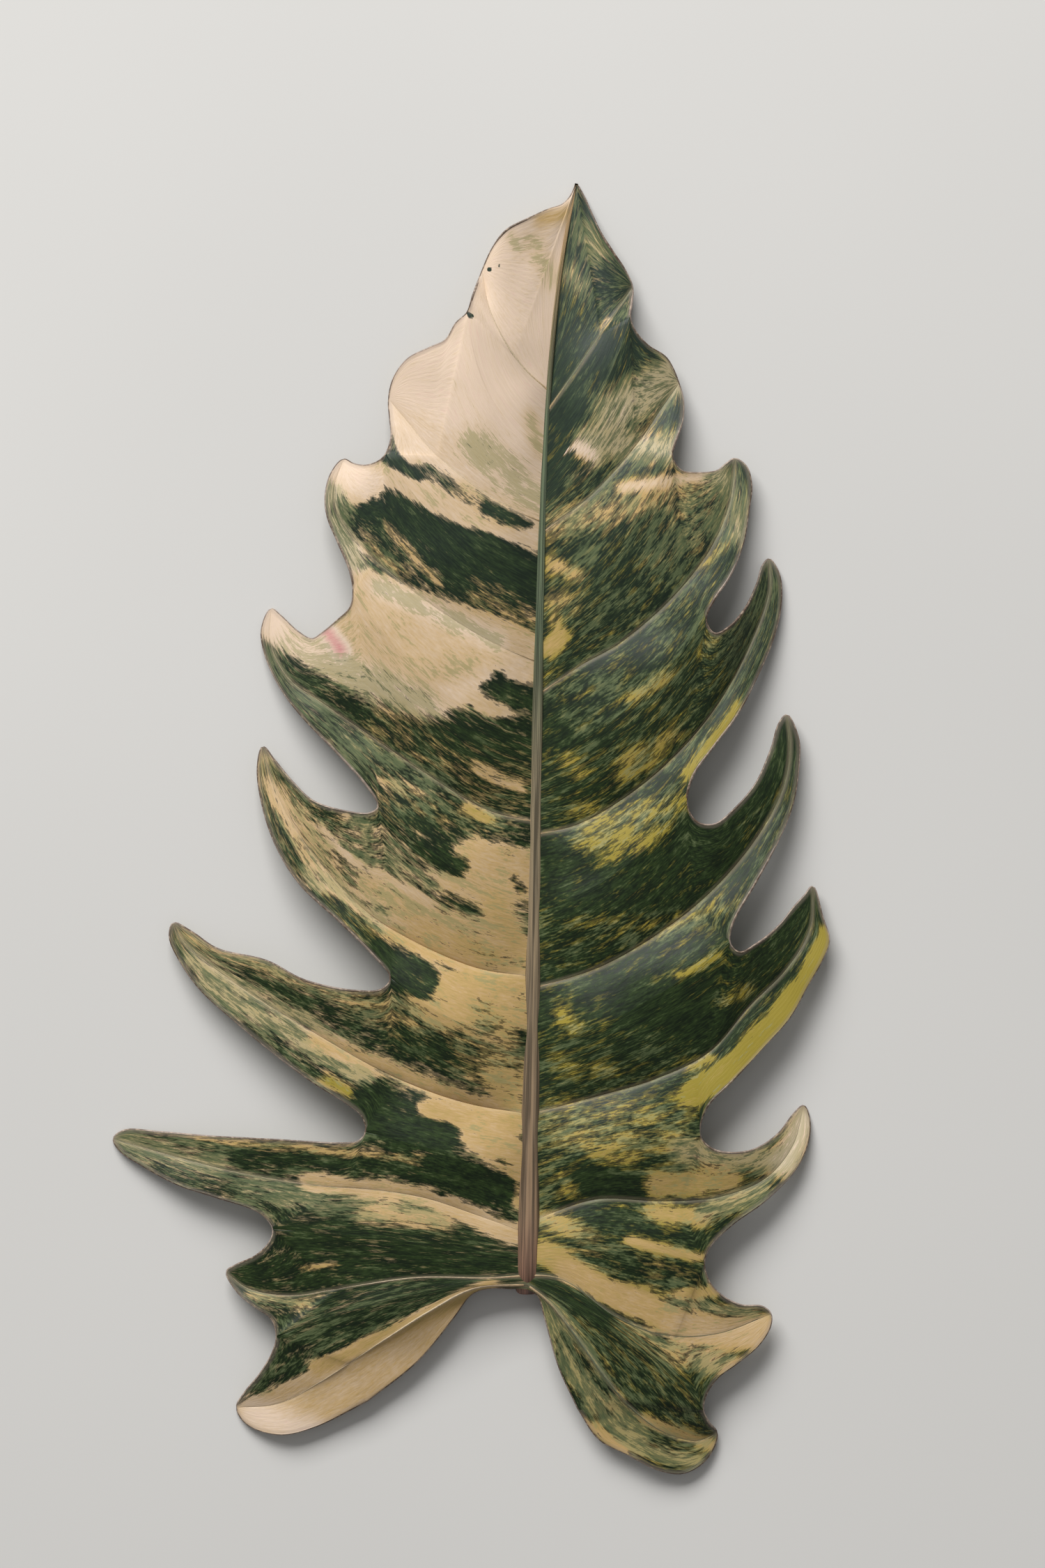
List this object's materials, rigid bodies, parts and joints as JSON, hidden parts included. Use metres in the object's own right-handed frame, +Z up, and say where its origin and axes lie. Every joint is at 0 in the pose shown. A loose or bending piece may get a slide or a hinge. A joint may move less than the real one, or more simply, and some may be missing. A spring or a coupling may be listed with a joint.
{
  "type": "variegated philodendron leaf",
  "caption": "Long heart-based leaf with deeply cut, curving pointed lobes, a keeled midrib and arching side veins, marbled cream and green, picked and laid face up.",
  "frame": {"origin": "bottom centre of the leaf's bounding box, on the surface that the leaf lies on", "axes": "+Y along the leaf from the stalk towards its point, +Z up out of the leaf's upper face, +X to the right as seen from above with the point away from the viewer"},
  "size_m": [0.2056, 0.3718, 0.0143],
  "materials": {
    "leaf": "leathery, half-glossy leaf skin, green marbled with cream"
  },
  "bodies": {
    "root": {"leaf": "leaf"}
  },
  "joints": []
}
